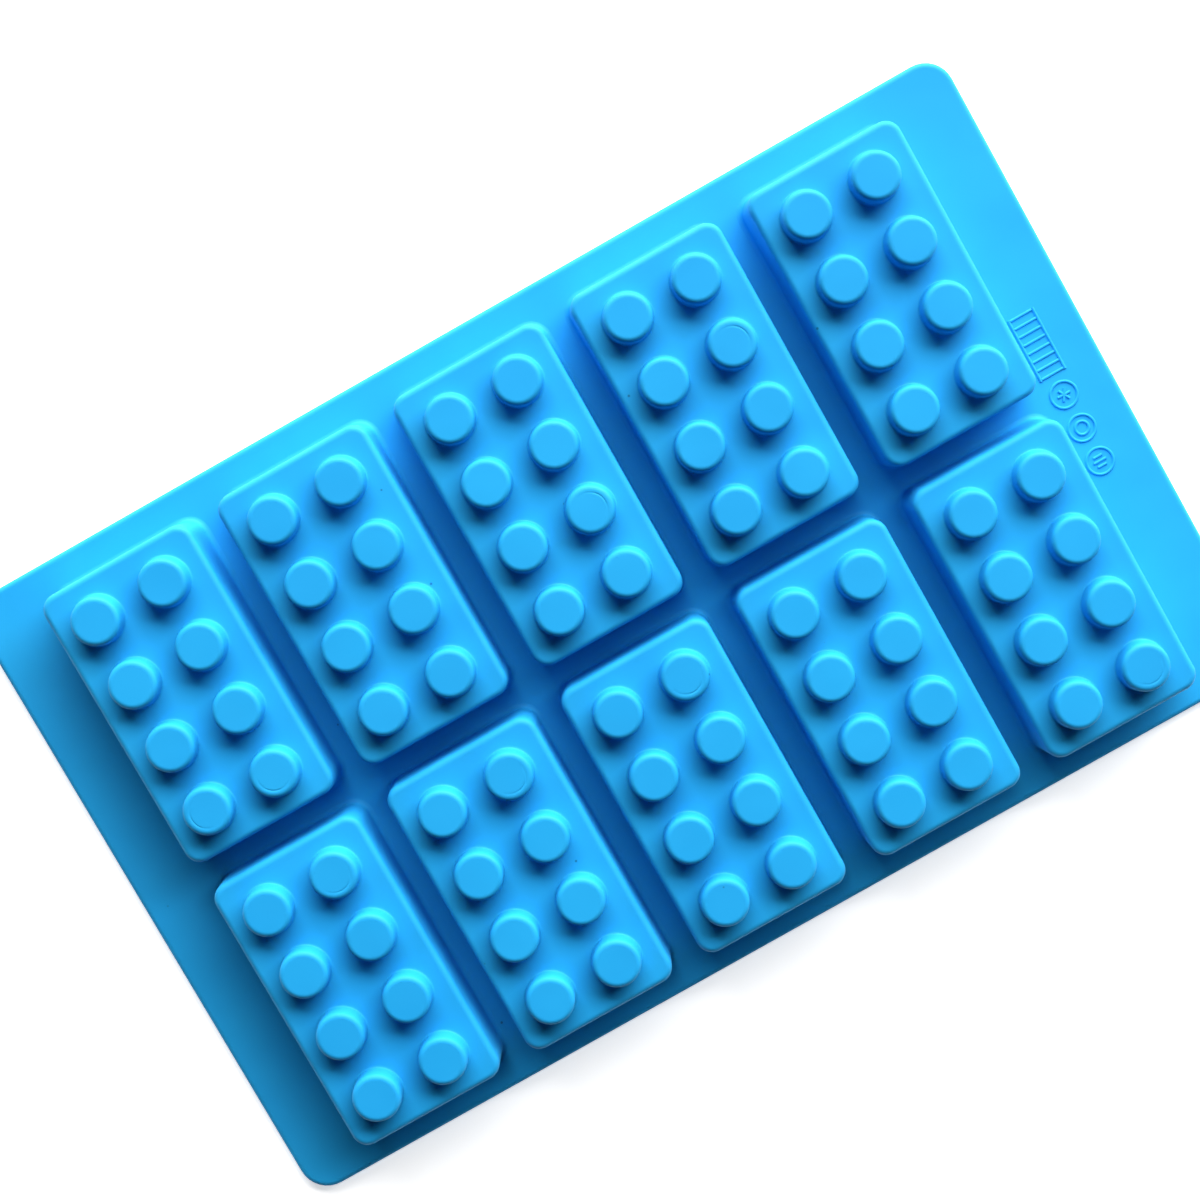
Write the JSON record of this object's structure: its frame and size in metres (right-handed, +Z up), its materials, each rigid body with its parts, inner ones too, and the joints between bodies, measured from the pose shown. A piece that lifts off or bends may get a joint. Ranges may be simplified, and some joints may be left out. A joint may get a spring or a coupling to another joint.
{
  "type": "silicone soap mould",
  "caption": "Flexible silicone mould tray with two rows of studded brick-shaped cups, shown lying on its open face with the cups upward.",
  "frame": {"origin": "middle of the sheet's open face, which lies on the table", "axes": "+X along the long side towards the margin with the raised marks, +Y along the short side, +Z up through the cups' closed ends"},
  "size_m": [0.185, 0.116, 0.0164],
  "materials": {
    "sheet": "satin",
    "cups": "satin"
  },
  "bodies": {
    "column_1": {"flange_panel_1": "sheet", "cup_wall_a1": "cups", "cup_wall_b1": "cups"},
    "column_2": {"flange_panel_2": "sheet", "cup_wall_a2": "cups", "cup_wall_b2": "cups", "web_1": "sheet"},
    "column_3": {"flange_panel_3": "sheet", "cup_wall_a3": "cups", "cup_wall_b3": "cups", "web_2": "sheet", "web_3": "sheet"},
    "column_4": {"flange_panel_4": "sheet", "cup_wall_a4": "cups", "cup_wall_b4": "cups", "web_4": "sheet"},
    "column_5": {"flange_panel_5": "sheet", "cup_wall_a5": "cups", "cup_wall_b5": "cups", "mark_bar": "sheet", "mark_rings": "sheet"},
    "cup_end_a1": {"cup_floor_a1": "cups", "cup_studs_a1": "cups"},
    "cup_end_a2": {"cup_floor_a2": "cups", "cup_studs_a2": "cups"},
    "cup_end_a3": {"cup_floor_a3": "cups", "cup_studs_a3": "cups"},
    "cup_end_a4": {"cup_floor_a4": "cups", "cup_studs_a4": "cups"},
    "cup_end_a5": {"cup_floor_a5": "cups", "cup_studs_a5": "cups"},
    "cup_end_b1": {"cup_floor_b1": "cups", "cup_studs_b1": "cups"},
    "cup_end_b2": {"cup_floor_b2": "cups", "cup_studs_b2": "cups"},
    "cup_end_b3": {"cup_floor_b3": "cups", "cup_studs_b3": "cups"},
    "cup_end_b4": {"cup_floor_b4": "cups", "cup_studs_b4": "cups"},
    "cup_end_b5": {"cup_floor_b5": "cups", "cup_studs_b5": "cups"}
  },
  "joints": [
    {"name": "column_fold_1", "type": "hinge", "parent": "column_2", "child": "column_1", "pos_m": [-0.0489, 0, 0.0009], "axis": [0, -1, 0], "range_deg": [-20, 30], "stiffness_Nm_per_rad": 0.03, "deforming": ["web_1"]},
    {"name": "column_fold_2", "type": "hinge", "parent": "column_3", "child": "column_2", "pos_m": [-0.0163, 0, 0.0009], "axis": [0, -1, 0], "range_deg": [-20, 30], "stiffness_Nm_per_rad": 0.03, "deforming": ["web_2"]},
    {"name": "column_fold_3", "type": "hinge", "parent": "column_3", "child": "column_4", "pos_m": [0.0163, 0, 0.0009], "axis": [0, 1, 0], "range_deg": [-20, 30], "stiffness_Nm_per_rad": 0.03, "deforming": ["web_3"]},
    {"name": "column_fold_4", "type": "hinge", "parent": "column_4", "child": "column_5", "pos_m": [0.0489, 0, 0.0009], "axis": [0, 1, 0], "range_deg": [-20, 30], "stiffness_Nm_per_rad": 0.03, "deforming": ["web_4"]},
    {"name": "push_out_a1", "type": "slide", "parent": "column_1", "child": "cup_end_a1", "axis": [0, 0, -1], "range_m": [0, 0.005], "stiffness_N_per_m": 600},
    {"name": "push_out_a2", "type": "slide", "parent": "column_2", "child": "cup_end_a2", "axis": [0, 0, -1], "range_m": [0, 0.005], "stiffness_N_per_m": 600},
    {"name": "push_out_a3", "type": "slide", "parent": "column_3", "child": "cup_end_a3", "axis": [0, 0, -1], "range_m": [0, 0.005], "stiffness_N_per_m": 600},
    {"name": "push_out_a4", "type": "slide", "parent": "column_4", "child": "cup_end_a4", "axis": [0, 0, -1], "range_m": [0, 0.005], "stiffness_N_per_m": 600},
    {"name": "push_out_a5", "type": "slide", "parent": "column_5", "child": "cup_end_a5", "axis": [0, 0, -1], "range_m": [0, 0.005], "stiffness_N_per_m": 600},
    {"name": "push_out_b1", "type": "slide", "parent": "column_1", "child": "cup_end_b1", "axis": [0, 0, -1], "range_m": [0, 0.005], "stiffness_N_per_m": 600},
    {"name": "push_out_b2", "type": "slide", "parent": "column_2", "child": "cup_end_b2", "axis": [0, 0, -1], "range_m": [0, 0.005], "stiffness_N_per_m": 600},
    {"name": "push_out_b3", "type": "slide", "parent": "column_3", "child": "cup_end_b3", "axis": [0, 0, -1], "range_m": [0, 0.005], "stiffness_N_per_m": 600},
    {"name": "push_out_b4", "type": "slide", "parent": "column_4", "child": "cup_end_b4", "axis": [0, 0, -1], "range_m": [0, 0.005], "stiffness_N_per_m": 600},
    {"name": "push_out_b5", "type": "slide", "parent": "column_5", "child": "cup_end_b5", "axis": [0, 0, -1], "range_m": [0, 0.005], "stiffness_N_per_m": 600}
  ]
}
